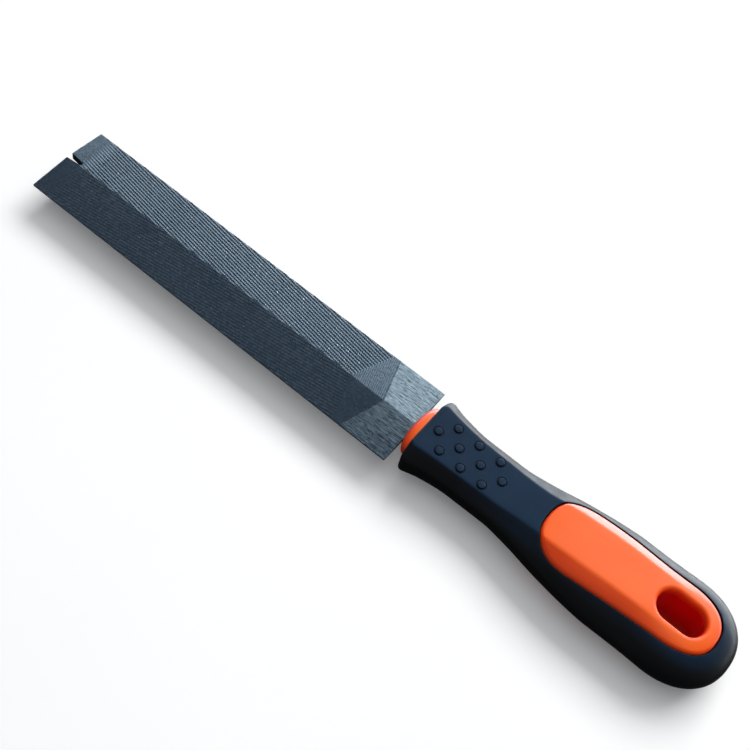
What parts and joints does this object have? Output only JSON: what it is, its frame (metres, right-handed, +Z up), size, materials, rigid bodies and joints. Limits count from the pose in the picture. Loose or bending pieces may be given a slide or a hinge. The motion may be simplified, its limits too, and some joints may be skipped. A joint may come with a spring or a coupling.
{
  "type": "saw-sharpening file",
  "caption": "Rhombic-section saw file with a notched tip, set in a waisted two-colour plastic handle with raised grip buttons and a hanging hole.",
  "frame": {"origin": "below the middle of the whole file, at the height of the handle's underside", "axes": "+X along the file from the blade's tip to the handle's butt, +Z up through the handle's broad face, +Y across the blade, to the side where the tip's notch is offset"},
  "size_m": [0.2644, 0.0334, 0.0208],
  "materials": {
    "steel": "hardened file steel, cut with fine crossed teeth, ground bare at the heel",
    "core_plastic": "smooth orange moulding, satin to glossy",
    "grip_rubber": "soft blue-black overmould, fine matt texture"
  },
  "bodies": {
    "root": {"file_blade": "steel", "handle_core": "core_plastic", "grip_overmould": "grip_rubber"}
  },
  "joints": []
}
